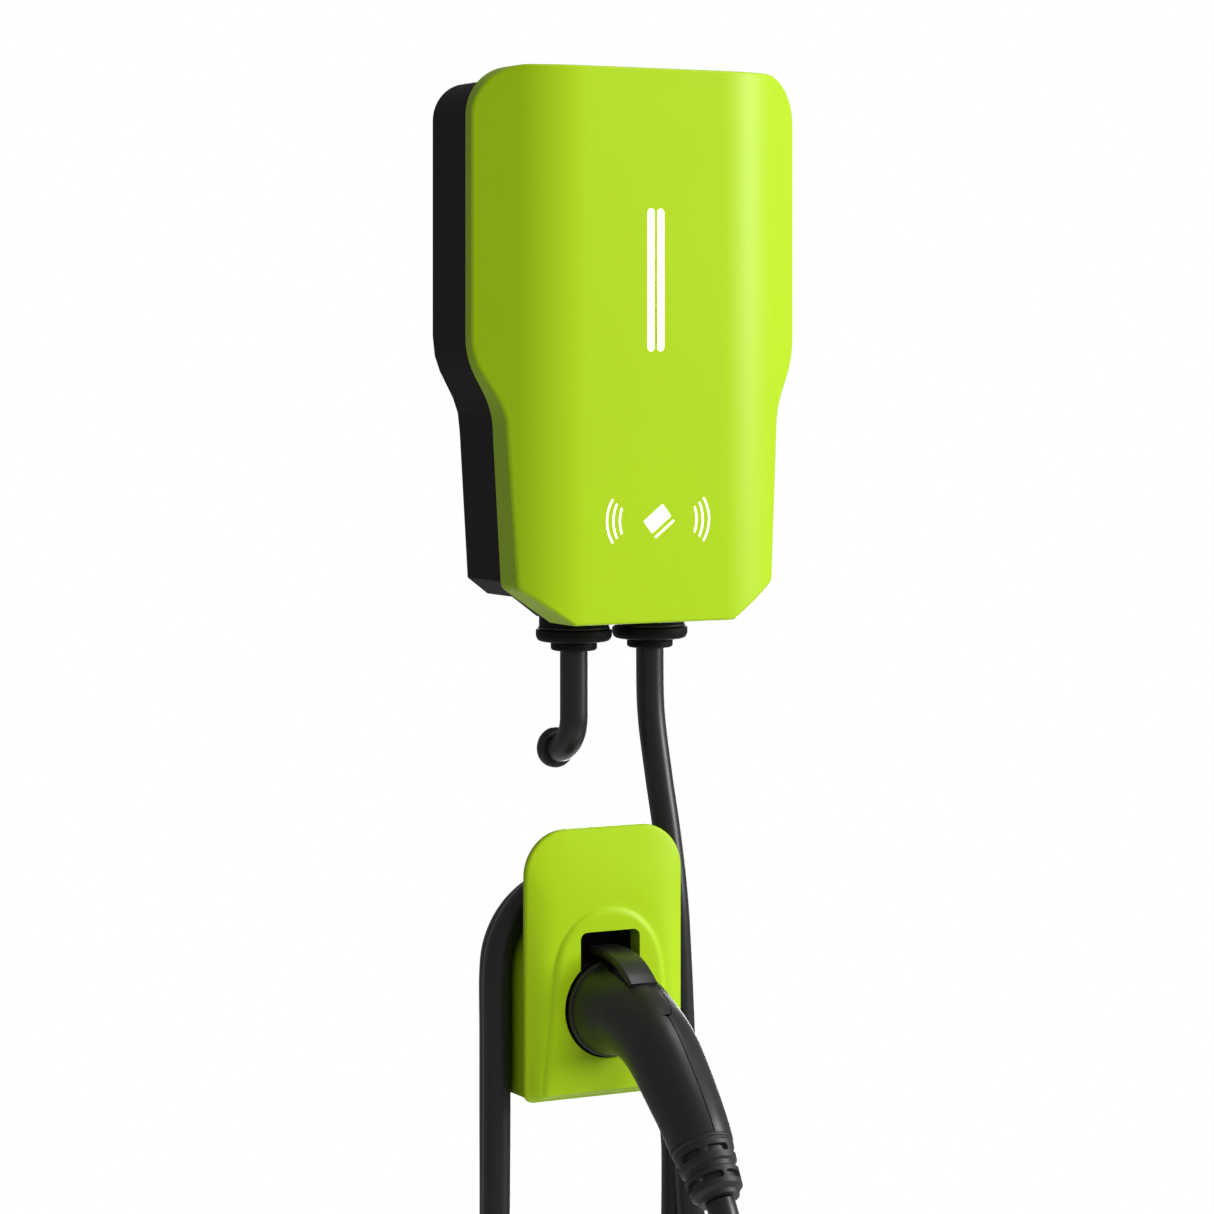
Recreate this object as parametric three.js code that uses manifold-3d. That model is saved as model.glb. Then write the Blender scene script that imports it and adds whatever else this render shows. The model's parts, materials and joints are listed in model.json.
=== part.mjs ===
// Wall-mounted electric vehicle charger: a charger box, a separate holster below it, and a tethered
// charging cable whose connector is parked in the holster. Millimetres, +X right, +Z up.
// The wall is the plane Y = 0 and everything stands in front of it, towards -Y.
// "Reach" is a distance in front of the wall, so Y = -reach.
// The origin is on the wall behind the middle of the charger box.
import * as THREE from 'three';
import { mergeVertices } from 'three/addons/utils/BufferGeometryUtils.js';
import Module from 'manifold-3d';

const wasm = await Module();
wasm.setup();

// ---------- driving dimensions ----------
const GAP = 0.3;                    // clearance between pieces that touch

const COVER_TOP = 171.6;            // highest point of the charger box, from its middle
const COVER_HALF_WIDE = 114.2;      // half width of the upper, wide part
const COVER_HALF_NARROW = 95.5;     // half width just below the shoulder
const COVER_HALF_FOOT = 90;         // half width where the foot chamfer starts
const COVER_HALF_SOLE = 56;         // half width of the flat underside
const COVER_CORNER = 31;            // radius of the two top corners
const SHOULDER_TOP = 6;             // height where the side starts to curve in
const SHOULDER_END = -54.5;         // height where it is straight again
const CHAMFER_TOP = -148.8;         // height where the foot chamfer starts
const COVER_WALL = 2.5;
const COVER_BACK = 50;              // reach of the joint between housing and cover
const COVER_FRONT = 85;             // reach of the flat front
const FLAT_HALF = 49;               // half width of the flat front
const BEND_RADIUS = 80;             // soft bend between the flat front and the side facets
const FACET_ANGLE = THREE.MathUtils.degToRad(31);

const HOUSING_INSET = 1.2;          // the housing is this much smaller than the cover
const HOUSING_WALL = 3;
const HOUSING_REAR = 1;             // reach of the housing's rear edge
const HOUSING_FLOOR = 10;           // reach of the rear face of the housing's floor
const HOUSING_TOP = 164;
const HOUSING_CORNER = 24;
const HOUSING_SOLE = -155.9;        // underside of the housing
const SKIRT_BACK = 34;              // reach where the lower front skirt begins
const SKIRT_SOLE = -168.6;

const BRACKET_WIDTH = 140;
const BRACKET_HEIGHT = 190;
const BRACKET_SHEET = 4;

const GLAND_X = 27.2;               // the two cable entries are this far from the middle
const GLAND_REACH = 27;
const BOSS_RADIUS = 22;
const BOSS_SOLE = -176;
const STEM_RADIUS = 12.2;
const GLAND_BORE = 9.4;
const FLANGE_RADIUS = 24;
const COLLAR_RADIUS = 14.6;
const GLAND_EXIT = -191.5;

const CABLE_RADIUS = 8.8;
const CABLE_SIDES = 10;

const HOLSTER_X = -23;
const PLATE_HALF = 54.8;
const PLATE_TOP = -299;
const PLATE_SOLE = -466;
const PLATE_BACK = 56;
const PLATE_FRONT = 62;
const PANEL_FRONT = 68;             // reach of the raised panel round the socket
const HOOK_Z = -390.5;              // centre of the round hook that the cable hangs over
const HOOK_RADIUS_REAR = 41;        // radius of the hook near the wall
const HOOK_RADIUS = 50;             // radius of the hook from HOOK_FULL forward
const HOOK_REAR = 6.5;
const HOOK_FULL = 30;
const SOCKET_Z = -409.4;            // axis of the parked connector
const SOCKET_RADIUS = 31.6;

const RING_RADIUS = 30.3;
const NOSE_RADIUS = 27.6;
const NOSE_TIP = 24;                // reach of the tip of the parked nose
const HANDLE_START = 73.3;
const LATCH_HALF = 9.5;
const LATCH_PIVOT = { reach: 98, z: -394 };

const LIGHT_TOP = 84.5;
const LIGHT_LENGTH = 88;
const LIGHT_WIDTH = 4.5;
const LIGHT_X = 3.4;

// ---------- materials ----------
const finish = (color, roughness, metalness = 0) =>
  new THREE.MeshStandardMaterial({ color, roughness, metalness });
const LIME = finish(0x9fce1c, 0.38);
const BLACK = finish(0x141615, 0.45);
const CABLE = finish(0x202221, 0.55);
const RUBBER = finish(0x171717, 0.75);
const STEEL = finish(0xb9bcc0, 0.35, 1);
const BRASS = finish(0xc9a35a, 0.35, 1);
const BOARD = finish(0x1d5a36, 0.6);
const LIGHT = finish(0xf8fbf4, 0.3);
const GREY = finish(0x5c6166, 0.5);

// ---------- helpers ----------
// One closed mesh: vertices merged, collapsed triangles dropped, faces outward.
// A result of geometryOf is closed already.
function closed(source) {
  if (source.userData.closed) return source;
  const bare = source.clone();
  bare.deleteAttribute('normal');
  bare.deleteAttribute('uv');
  const merged = mergeVertices(bare, 1e-4);
  const from = merged.index.array;
  const position = merged.attributes.position;
  const kept = [];
  let volume = 0;
  const [a, b, c] = [new THREE.Vector3(), new THREE.Vector3(), new THREE.Vector3()];
  for (let i = 0; i < from.length; i += 3) {
    const [p, q, r] = [from[i], from[i + 1], from[i + 2]];
    if (p === q || q === r || r === p) continue;
    kept.push(p, q, r);
    a.fromBufferAttribute(position, p);
    b.fromBufferAttribute(position, q);
    c.fromBufferAttribute(position, r);
    volume += a.dot(b.cross(c));
  }
  if (volume < 0) kept.reverse();
  merged.setIndex(kept);
  return merged;
}

function solid(geometry) {
  const mesh = closed(geometry);
  return new wasm.Manifold(new wasm.Mesh({
    numProp: 3,
    vertProperties: new Float32Array(mesh.attributes.position.array),
    triVerts: new Uint32Array(mesh.index.array),
  }));
}

function geometryOf(manifold) {
  const mesh = manifold.getMesh();
  const geometry = new THREE.BufferGeometry();
  geometry.setAttribute('position', new THREE.BufferAttribute(mesh.vertProperties, 3));
  geometry.setIndex(new THREE.BufferAttribute(mesh.triVerts, 1));
  geometry.userData.closed = true;
  return geometry;
}

const join = (first, ...rest) => rest.reduce((sum, next) => sum.add(next), first);
const cut = (first, ...rest) => rest.reduce((sum, next) => sum.subtract(next), first);

// A plate parallel to the wall: a shape in X and Z, between two reaches.
function slab(shape, from, to, options = {}) {
  const geometry = new THREE.ExtrudeGeometry(shape, {
    depth: to - from, bevelEnabled: false, curveSegments: 6, ...options,
  });
  return geometry.rotateX(Math.PI / 2).translate(0, -from, 0);
}

// A piece seen from the side: a shape in reach and Z, spread over a width in X.
function sideways(shape, width, x) {
  const geometry = new THREE.ExtrudeGeometry(shape, {
    depth: width, bevelEnabled: false, curveSegments: 8,
  });
  const toSide = new THREE.Matrix4().makeBasis(
    new THREE.Vector3(0, -1, 0), new THREE.Vector3(0, 0, 1), new THREE.Vector3(-1, 0, 0));
  return geometry.applyMatrix4(toSide).translate(x + width / 2, 0, 0);
}

function box(x, reach, z, width, depth, height) {
  return new THREE.BoxGeometry(width, depth, height).translate(x, -reach, z);
}

// Turned pieces: profile points are [radius, distance along the axis].
function turned(profile, segments = 24, phase = 0) {
  const points = profile.map(([radius, along]) => new THREE.Vector2(radius, along));
  return new THREE.LatheGeometry(points, segments, phase);
}
const ring = (inner, outer, from, to, segments = 24) => turned(
  [[inner, from], [outer, from], [outer, to], [inner, to], [inner, from]], segments);
const disc = (radius, from, to, segments = 24) => turned(
  [[0, from], [radius, from], [radius, to], [0, to]], segments);
const upright = (geometry, x, reach) => geometry.rotateX(-Math.PI / 2).translate(x, -reach, 0);
const outward = (geometry, x, z) => geometry.rotateX(Math.PI).translate(x, 0, z);
const across = (geometry, reach, z) => geometry.rotateZ(Math.PI / 2).translate(0, -reach, z);

function roundedRect(x, z, width, height, radius) {
  const [left, right] = [x - width / 2, x + width / 2];
  const [low, high] = [z - height / 2, z + height / 2];
  const shape = new THREE.Shape();
  shape.moveTo(left + radius, low);
  shape.lineTo(right - radius, low);
  shape.absarc(right - radius, low + radius, radius, -Math.PI / 2, 0);
  shape.lineTo(right, high - radius);
  shape.absarc(right - radius, high - radius, radius, 0, Math.PI / 2);
  shape.lineTo(left + radius, high);
  shape.absarc(left + radius, high - radius, radius, Math.PI / 2, Math.PI);
  shape.lineTo(left, low + radius);
  shape.absarc(left + radius, low + radius, radius, Math.PI, Math.PI * 1.5);
  return shape;
}

const charger = new THREE.Group();
function add(name, geometry, material) {
  const mesh = new THREE.Mesh(closed(geometry), material);
  mesh.name = name;
  charger.add(mesh);
}

// ---------- charger box outlines ----------
// Half width shrinks below the shoulder; "inset" moves the whole outline inwards.
function boxOutline(inset, top, corner, chamferTop, soleHalf, sole) {
  const wide = COVER_HALF_WIDE - inset;
  const narrow = COVER_HALF_NARROW - inset;
  const foot = COVER_HALF_FOOT - inset;
  const middle = (SHOULDER_TOP + SHOULDER_END) / 2;
  const shape = new THREE.Shape();
  shape.moveTo(-soleHalf, sole);
  shape.lineTo(soleHalf, sole);
  shape.lineTo(foot, chamferTop);
  shape.lineTo(narrow, SHOULDER_END);
  shape.bezierCurveTo(narrow, middle - 2, wide, middle + 2, wide, SHOULDER_TOP);
  shape.lineTo(wide, top - corner);
  shape.absarc(wide - corner, top - corner, corner, 0, Math.PI / 2);
  shape.lineTo(corner - wide, top);
  shape.absarc(corner - wide, top - corner, corner, Math.PI / 2, Math.PI);
  shape.lineTo(-wide, SHOULDER_TOP);
  shape.bezierCurveTo(-wide, middle + 2, -narrow, middle - 2, -narrow, SHOULDER_END);
  shape.lineTo(-foot, chamferTop);
  return shape;
}
const coverOutline = (inset) => boxOutline(
  inset, COVER_TOP - inset, COVER_CORNER - inset, CHAMFER_TOP, COVER_HALF_SOLE, inset - COVER_TOP);
const housingOutline = (inset) => boxOutline(
  HOUSING_INSET + inset, HOUSING_TOP - inset, HOUSING_CORNER - inset, HOUSING_SOLE + 10.5,
  75 - inset, HOUSING_SOLE + inset);

// The bowed front: flat in the middle, a soft bend, then a straight facet down each side.
function frontPrism(inset) {
  const reach = COVER_FRONT - inset;
  const radius = BEND_RADIUS - inset;
  const bendX = FLAT_HALF + radius * Math.sin(FACET_ANGLE);
  const bendY = radius * Math.cos(FACET_ANGLE) + reach - radius;
  const edge = COVER_HALF_WIDE + 20;
  const edgeY = bendY - (edge - bendX) * Math.tan(FACET_ANGLE);
  const shape = new THREE.Shape();
  shape.moveTo(-edge, 0);
  shape.lineTo(-edge, -edgeY);
  shape.lineTo(-bendX, -bendY);
  shape.absarc(-FLAT_HALF, radius - reach, radius, -Math.PI / 2 - FACET_ANGLE, -Math.PI / 2);
  shape.lineTo(FLAT_HALF, -reach);
  shape.absarc(FLAT_HALF, radius - reach, radius, -Math.PI / 2, FACET_ANGLE - Math.PI / 2);
  shape.lineTo(edge, -edgeY);
  shape.lineTo(edge, 0);
  const height = 2 * COVER_TOP + 40;
  return new THREE.ExtrudeGeometry(shape, { depth: height, bevelEnabled: false, curveSegments: 8 })
    .translate(0, 0, -height / 2);
}

// ---------- front cover and its light guides ----------
const SCREW_POSTS = [[-78, 128], [78, 128], [-70, -118], [70, -118]];
const POST_RADIUS = 6;
const SCREW_TIP = 62;

function frontCover() {
  const outer = solid(slab(coverOutline(0), COVER_BACK, COVER_FRONT + 5))
    .intersect(solid(frontPrism(0)));
  const inner = solid(slab(coverOutline(COVER_WALL), COVER_BACK - 5, COVER_FRONT + 5))
    .intersect(solid(frontPrism(COVER_WALL)));
  let cover = outer.subtract(inner);
  for (const [x, z] of SCREW_POSTS) {
    const post = disc(POST_RADIUS, COVER_BACK, COVER_FRONT, 16);
    cover = cover.add(solid(outward(post, x, z)).intersect(solid(frontPrism(1))));
    cover = cover.subtract(solid(outward(disc(2.3, COVER_BACK - 1, SCREW_TIP + 1, 12), x, z)));
  }
  for (const side of [-1, 1]) {
    const slot = roundedRect(side * LIGHT_X, LIGHT_TOP - LIGHT_LENGTH / 2,
      LIGHT_WIDTH, LIGHT_LENGTH, LIGHT_WIDTH / 2 - 0.01);
    cover = cover.subtract(solid(slab(slot, COVER_FRONT - 10, COVER_FRONT + 5)));
  }
  return geometryOf(cover);
}
add('front_cover', frontCover(), LIME);

for (const [name, side] of [['light_guide_left', -1], ['light_guide_right', 1]]) {
  const width = LIGHT_WIDTH - GAP;
  const bar = roundedRect(side * LIGHT_X, LIGHT_TOP - LIGHT_LENGTH / 2,
    width, LIGHT_LENGTH - GAP, width / 2 - 0.01);
  add(name, slab(bar, COVER_FRONT - 7, COVER_FRONT + 0.2), LIGHT);
}

// ---------- rear housing, gasket, wall bracket ----------
const BOARD_POSTS = [[-58, 96], [58, 96], [-58, -64], [58, -64]];
const BOARD_REACH = 24;

function rearHousing() {
  const body = solid(slab(housingOutline(0), HOUSING_REAR, COVER_BACK - GAP));
  const skirt = boxOutline(HOUSING_INSET + 1, HOUSING_TOP, HOUSING_CORNER, -146,
    COVER_HALF_SOLE + 1, SKIRT_SOLE);
  let housing = body.add(solid(slab(skirt, SKIRT_BACK, COVER_BACK - GAP)));
  for (const side of [-1, 1]) {
    const boss = disc(BOSS_RADIUS, -BOSS_SOLE, -HOUSING_SOLE - 1);
    housing = housing.add(solid(upright(boss, side * GLAND_X, GLAND_REACH)));
  }
  housing = housing.subtract(
    solid(slab(housingOutline(HOUSING_WALL), HOUSING_FLOOR + HOUSING_WALL, COVER_BACK + 1)));
  housing = housing.subtract(solid(slab(
    roundedRect(0, 0, BRACKET_WIDTH + 6, BRACKET_HEIGHT + 6, 8), 0, HOUSING_FLOOR)));
  for (const side of [-1, 1]) {
    const hole = disc(STEM_RADIUS + GAP, -BOSS_SOLE + 1, -HOUSING_SOLE - 12);
    const nutRoom = disc(18, -HOUSING_SOLE - 12, -HOUSING_SOLE - HOUSING_WALL);
    housing = housing.subtract(solid(upright(hole, side * GLAND_X, GLAND_REACH)));
    housing = housing.subtract(solid(upright(nutRoom, side * GLAND_X, GLAND_REACH)));
  }
  for (const [x, z] of BOARD_POSTS) {
    housing = housing.add(solid(outward(disc(4, HOUSING_FLOOR + 1, BOARD_REACH, 12), x, z)));
  }
  for (const [x, z] of SCREW_POSTS) {
    housing = housing.add(
      solid(outward(disc(POST_RADIUS + 1, HOUSING_REAR + 6, COVER_BACK - GAP, 16), x, z)));
    housing = housing.subtract(solid(outward(disc(2.3, 0, COVER_BACK + 1, 12), x, z)));
    housing = housing.subtract(solid(outward(disc(5, 0, 12, 16), x, z)));
  }
  return geometryOf(housing);
}
add('rear_housing', rearHousing(), BLACK);

for (const [index, [x, z]] of SCREW_POSTS.entries()) {
  const screw = turned([[0, 8], [4.2, 8], [4.2, 11.7], [2, 11.7], [2, SCREW_TIP], [0, SCREW_TIP]], 10);
  add(`cover_screw_${index + 1}`, outward(screw, x, z), STEEL);
}

// A soft sealing cord runs inside the cover, on the rim of the housing.
const gasket = cut(
  solid(slab(coverOutline(COVER_WALL + GAP), COVER_BACK, COVER_BACK + 2.2)),
  solid(slab(coverOutline(COVER_WALL + 3.4), COVER_BACK - 1, COVER_BACK + 4)),
  ...SCREW_POSTS.map(([x, z]) => solid(outward(disc(POST_RADIUS + GAP, 40, 60, 16), x, z))));
add('housing_gasket', geometryOf(gasket), RUBBER);

const BRACKET_SCREWS = [[-45, 70], [45, 70], [-45, -70], [45, -70]];
function wallBracket() {
  const sheet = solid(slab(roundedRect(0, 0, BRACKET_WIDTH, BRACKET_HEIGHT, 6), 0, BRACKET_SHEET));
  const ledges = [80, -80].map((z) => solid(box(0, BRACKET_SHEET + 2.2, z, 90, 5, 5)));
  const holes = BRACKET_SCREWS.map(([x, z]) => solid(outward(disc(3.2, -1, 9, 12), x, z)));
  const windows = [42, -42].map((z) => solid(box(0, 2, z, 60, 10, 36)));
  return geometryOf(cut(join(sheet, ...ledges), ...windows, ...holes));
}
add('wall_bracket', wallBracket(), STEEL);
for (const [index, [x, z]] of BRACKET_SCREWS.entries()) {
  const screw = turned([[0, 0], [2.8, 0], [2.8, 4.3], [5.5, 4.3], [4.5, 7.5], [0, 7.5]], 12);
  add(`bracket_screw_${index + 1}`, outward(screw, x, z), STEEL);
}

// ---------- electronics inside the box ----------
const boardTop = BOARD_REACH + GAP + 1.6;
add('main_board', slab(roundedRect(0, 16, 132, 176, 4), BOARD_REACH + GAP, boardTop), BOARD);
for (const [index, x] of [-30, 30].entries()) {
  add(`power_relay_${index + 1}`, box(x, boardTop + GAP + 11, 50, 30, 22, 36), BLACK);
}
add('input_terminal_block', box(-GLAND_X, boardTop + GAP + 8, -48, 42, 16, 26), GREY);
add('output_terminal_block', box(GLAND_X, boardTop + GAP + 8, -48, 42, 16, 26), GREY);
add('leakage_sensor', outward(ring(8, 15, boardTop + GAP, boardTop + 14, 24), 0, 2), BLACK);
add('led_board', slab(roundedRect(0, LIGHT_TOP - LIGHT_LENGTH / 2, 30, 110, 3),
  COVER_FRONT - 9, COVER_FRONT - 7 - GAP), BOARD);
add('reader_board', slab(roundedRect(0, -110, 76, 54, 3), COVER_FRONT - 5, COVER_FRONT - 3.2), BOARD);

// ---------- cable glands ----------
// Distances along a gland run downwards, because the turned pieces hang below the box.
function gland(prefix, x) {
  const sole = -BOSS_SOLE;
  const flangeTop = sole + 2.1;
  const flangeSole = 186;
  const inside = -HOUSING_SOLE - HOUSING_WALL - GAP;
  add(`${prefix}_gland_seal`, upright(ring(STEM_RADIUS + GAP, 22.5, sole + GAP, sole + 1.8), x, GLAND_REACH),
    RUBBER);
  add(`${prefix}_gland_body`, upright(turned([
    [GLAND_BORE, inside - 10], [STEM_RADIUS, inside - 10], [STEM_RADIUS, flangeTop],
    [FLANGE_RADIUS, flangeTop], [FLANGE_RADIUS, flangeSole - 3], [FLANGE_RADIUS - 1, flangeSole - 1],
    [FLANGE_RADIUS - 3.4, flangeSole], [GLAND_BORE, flangeSole], [GLAND_BORE, inside - 10],
  ], 28), x, GLAND_REACH), BLACK);
  add(`${prefix}_gland_nut`, upright(turned([
    [GLAND_BORE, flangeSole + GAP], [COLLAR_RADIUS, flangeSole + GAP],
    [COLLAR_RADIUS, -GLAND_EXIT - 1.5], [COLLAR_RADIUS - 1.5, -GLAND_EXIT],
    [GLAND_BORE, -GLAND_EXIT], [GLAND_BORE, flangeSole + GAP],
  ]), x, GLAND_REACH), BLACK);
  add(`${prefix}_gland_locknut`, geometryOf(cut(
    solid(upright(disc(17, inside - 5.5, inside - GAP, 6), x, GLAND_REACH)),
    solid(upright(disc(STEM_RADIUS + GAP, inside - 8, inside + 3), x, GLAND_REACH)))), BRASS);
}
gland('supply', -GLAND_X);
gland('cable', GLAND_X);

// ---------- cords ----------
// A stretch of a smooth line through hand-set points, from one point's number to another's.
// It is even in the points' numbers, so that tight stretches get finer steps.
class Stretch extends THREE.Curve {
  constructor(points, from, to) {
    super();
    const places = points.map(([x, y, z]) => new THREE.Vector3(x, y, z));
    this.line = new THREE.CatmullRomCurve3(places, false, 'centripetal');
    this.from = from / (points.length - 1);
    this.to = to / (points.length - 1);
  }
  getPoint(t, target) { return this.line.getPoint(this.from + (this.to - this.from) * t, target); }
  getTangent(t, target) { return this.line.getTangent(this.from + (this.to - this.from) * t, target); }
  getPointAt(t, target) { return this.getPoint(t, target); }
  getTangentAt(t, target) { return this.getTangent(t, target); }
}
function tube(points, radius, sides, from = 0, to = points.length - 1) {
  const section = new THREE.Shape();
  for (let i = 0; i < sides; i += 1) {
    const angle = (2 * Math.PI * i) / sides;
    const corner = [radius * Math.cos(angle), radius * Math.sin(angle)];
    if (i === 0) section.moveTo(...corner);
    else section.lineTo(...corner);
  }
  return new THREE.ExtrudeGeometry(section, {
    steps: Math.round(to - from), extrudePath: new Stretch(points, from, to), bevelEnabled: false,
  });
}
// Points on an arc in the plane of X and Z; angles in degrees, reach worked out from X.
function arcXZ(x, z, radius, from, to, steps, reachAt) {
  return Array.from({ length: steps + 1 }, (_, i) => {
    const angle = THREE.MathUtils.degToRad(from + ((to - from) * i) / steps);
    const px = x + radius * Math.cos(angle);
    return [px, -reachAt(px), z + radius * Math.sin(angle)];
  });
}
const between = (a, b, t) => a + (b - a) * Math.min(1, Math.max(0, t));

// The supply comes up out of the wall through a grommet and a tight moulded elbow.
const ELBOW_Z = -233;
const ELBOW_RADIUS = 22;
const elbow = Array.from({ length: 7 }, (_, i) => {
  const angle = (Math.PI / 2) * (i / 6);
  return [-GLAND_X, -(GLAND_REACH - ELBOW_RADIUS * (1 - Math.cos(angle))),
    ELBOW_Z - ELBOW_RADIUS * Math.sin(angle)];
});
add('supply_conduit', tube([
  [-GLAND_X, -GLAND_REACH, -172], [-GLAND_X, -GLAND_REACH, -196], [-GLAND_X, -GLAND_REACH, -215],
  ...elbow, [-GLAND_X, 0, ELBOW_Z - ELBOW_RADIUS],
], CABLE_RADIUS, 12), CABLE);
add('wall_grommet', outward(turned([
  [GLAND_BORE, 0], [13, 0], [13, 3.5], [11.5, 5.5], [GLAND_BORE, 5.5], [GLAND_BORE, 0],
]), -GLAND_X, ELBOW_Z - ELBOW_RADIUS), RUBBER);

// The charging cable hangs twice over the holster's hook, then rises to the connector.
// The three layers lie one behind another, nearer the wall with each turn.
const LAYERS = [48, 30, 11.5];
const ARCH_1 = HOOK_RADIUS + CABLE_RADIUS + 1;
const ARCH_2 = 43.2 + CABLE_RADIUS + 1;
const LEFT_1 = HOLSTER_X - ARCH_1;
const LEFT_2 = HOLSTER_X - ARCH_2;
const turnReach = (from, to, right, left) => (x) => between(from, to, (right - x) / (right - left));
const U3_RADIUS = 105.25;
const U3_TOP = -880;
const U3_REACH = LAYERS[2] + U3_RADIUS;
// The last turn swings forward from the wall, under the other two, to the connector's side.
function forwardTurn(from, to, steps) {
  return Array.from({ length: steps + 1 }, (_, i) => {
    const degrees = from + ((to - from) * i) / steps;
    const angle = THREE.MathUtils.degToRad(degrees);
    return [between(52, HOLSTER_X, degrees / 180), -(U3_REACH - U3_RADIUS * Math.cos(angle)),
      U3_TOP - U3_RADIUS * Math.sin(angle)];
  });
}
const route = [
  [27.2, -27, -172], [27.2, -27, -191.5], [27.5, -28, -232], [29.4, -34, -270], [31.6, -41.5, -308],
  [33.8, -47, -348], [36.2, -48, -391], [38.5, -48, -437], [42, -48, -495], [45.5, -48, -552],
  [47, -48, -620], [51, -48, -690], [59, -48, -765],
  ...arcXZ(-19, -835, 82, 0, -180, 6, turnReach(48, 30, 46, -84)),
  [-98, -30, -765], [-90, -30, -690], [-85, -30, -620], [-83.4, -30, -550], [LEFT_1, -30, -480],
  [LEFT_1, -30, -430],
  ...arcXZ(HOLSTER_X, HOOK_Z, ARCH_1, 180, 0, 12, () => LAYERS[1]),
  [40.5, -30, -443], [43.8, -30, -508], [43.6, -30, -575], [44, -30, -650], [48, -30, -720],
  [55, -30, -785],
  ...arcXZ(-17, -850, 76, 0, -180, 6, turnReach(30, 11.5, 42, -75)),
  [-90.5, -11.5, -785], [-84, -11.5, -715], [-78, -11.5, -640], [-76, -11.5, -560],
  [LEFT_2, -11.5, -480], [LEFT_2, -11.5, -430],
  ...arcXZ(HOLSTER_X, HOOK_Z, ARCH_2, 180, 0, 12, () => LAYERS[2]),
  [40, -11.5, -443], [49, -11.5, -476], [54, -11.5, -515], [54.5, -11.5, -565], [54, -11.5, -640],
  [53, -11.5, -720], [52.5, -11.5, -800],
  ...forwardTurn(0, 180, 6), [-23, -222, -815], [-23, -222, -740], [-23, -222, -660],
  [-23, -222, -590], [-23, -220.6, -549], [-23, -216.6, -526], [-23, -209.5, -509.2],
  [-23, -204.8, -502.2],
];
// The last stretch moves with the connector; it starts at the lowest point of the forward turn.
const POINTS_AFTER_SPLIT = 11;
const splitAt = route.length - 1 - POINTS_AFTER_SPLIT;
const SPLIT_GAP = 0.01;             // as a share of the step between two points
add('charging_cable', tube(route, CABLE_RADIUS, CABLE_SIDES, 0, splitAt), CABLE);
add('charging_cable_tail', tube(route, CABLE_RADIUS, CABLE_SIDES, splitAt + SPLIT_GAP), CABLE);

// ---------- holster ----------
// The hook is an inverted U that narrows towards the wall: width follows the reach.
function hookSolid(inset, from, to) {
  const radius = HOOK_RADIUS - inset;
  const shape = new THREE.Shape();
  shape.moveTo(radius, -72 + inset);
  shape.lineTo(radius, 0);
  shape.absarc(0, 0, radius, 0, Math.PI);
  shape.lineTo(-radius, -72 + inset);
  const geometry = slab(shape, from, to, { steps: 2, curveSegments: 16 });
  const position = geometry.attributes.position;
  for (let i = 0; i < position.count; i += 1) {
    const t = (-position.getY(i) - HOOK_REAR) / (HOOK_FULL - HOOK_REAR);
    const scale = between(HOOK_RADIUS_REAR, HOOK_RADIUS, t) / HOOK_RADIUS;
    position.setX(i, position.getX(i) * scale + HOLSTER_X);
    position.setZ(i, position.getZ(i) * scale + HOOK_Z);
  }
  return solid(geometry);
}
function plateOutline() {
  const height = PLATE_TOP - PLATE_SOLE;
  const shape = new THREE.Shape();
  const [left, right] = [HOLSTER_X - PLATE_HALF, HOLSTER_X + PLATE_HALF];
  const [topCorner, soleCorner] = [28, 9];
  shape.moveTo(left + soleCorner, PLATE_SOLE);
  shape.lineTo(right - soleCorner, PLATE_SOLE);
  shape.absarc(right - soleCorner, PLATE_SOLE + soleCorner, soleCorner, -Math.PI / 2, 0);
  shape.lineTo(right, PLATE_SOLE + height - topCorner);
  shape.absarc(right - topCorner, PLATE_TOP - topCorner, topCorner, 0, Math.PI / 2);
  shape.lineTo(left + topCorner, PLATE_TOP);
  shape.absarc(left + topCorner, PLATE_TOP - topCorner, topCorner, Math.PI / 2, Math.PI);
  shape.lineTo(left, PLATE_SOLE + soleCorner);
  shape.absarc(left + soleCorner, PLATE_SOLE + soleCorner, soleCorner, Math.PI, Math.PI * 1.5);
  return shape;
}
// The raised panel: an inverted U that flares towards its foot, with sloping sides.
const PANEL_BEVEL = 5;
function panelOutline() {
  const shape = new THREE.Shape();
  const arch = 34;
  shape.moveTo(HOLSTER_X - 46, PLATE_SOLE + 8);
  shape.lineTo(HOLSTER_X + 46, PLATE_SOLE + 8);
  shape.lineTo(HOLSTER_X + 37.5, HOOK_Z);
  shape.bezierCurveTo(HOLSTER_X + 36, HOOK_Z + 26, HOLSTER_X + 20, HOOK_Z + arch + 11,
    HOLSTER_X, HOOK_Z + arch + 11);
  shape.bezierCurveTo(HOLSTER_X - 20, HOOK_Z + arch + 11, HOLSTER_X - 36, HOOK_Z + 26,
    HOLSTER_X - 37.5, HOOK_Z);
  return shape;
}
const WINDOW_TOP = -362.4;
const WINDOW_WIDTH = 41.4;
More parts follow.
